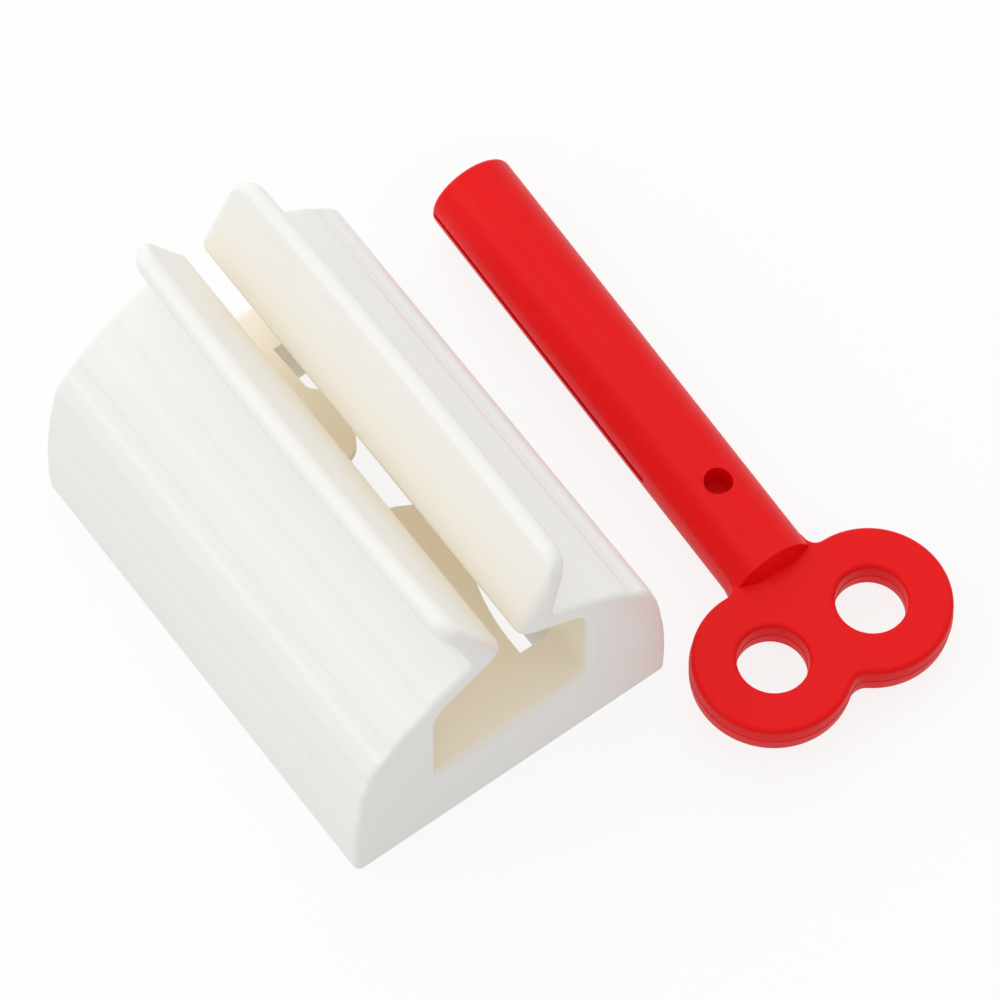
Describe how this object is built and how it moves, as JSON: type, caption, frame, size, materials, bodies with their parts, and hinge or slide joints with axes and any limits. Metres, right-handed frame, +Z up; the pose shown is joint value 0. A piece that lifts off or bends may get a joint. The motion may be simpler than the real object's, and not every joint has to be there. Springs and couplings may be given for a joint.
{
  "type": "toothpaste tube squeezer",
  "caption": "Toothpaste tube squeezer: a moulded holder with a flared slot mouth over an open chamber, and a separate winding key with a slit shaft and a handle pierced by finger holes.",
  "frame": {"origin": "on the table under the middle of the set's bounding box, with the key lying beside the holder", "axes": "+Z up from the table, +Y along the holder's chamber away from the key's handle, +X from the holder towards the key"},
  "size_m": [0.1112, 0.1198, 0.0628],
  "materials": {
    "holder_plastic": "satin moulded",
    "key_plastic": "satin moulded"
  },
  "bodies": {
    "holder": {"tube_holder": "holder_plastic"},
    "key": {"winding_key": "key_plastic"}
  },
  "joints": [
    {"name": "key_turn", "type": "hinge", "parent": "holder", "child": "key", "pos_m": [0.03148, -0.03127, 0.008], "axis": [0.0279, 0.9996, 0], "continuous": true}
  ]
}
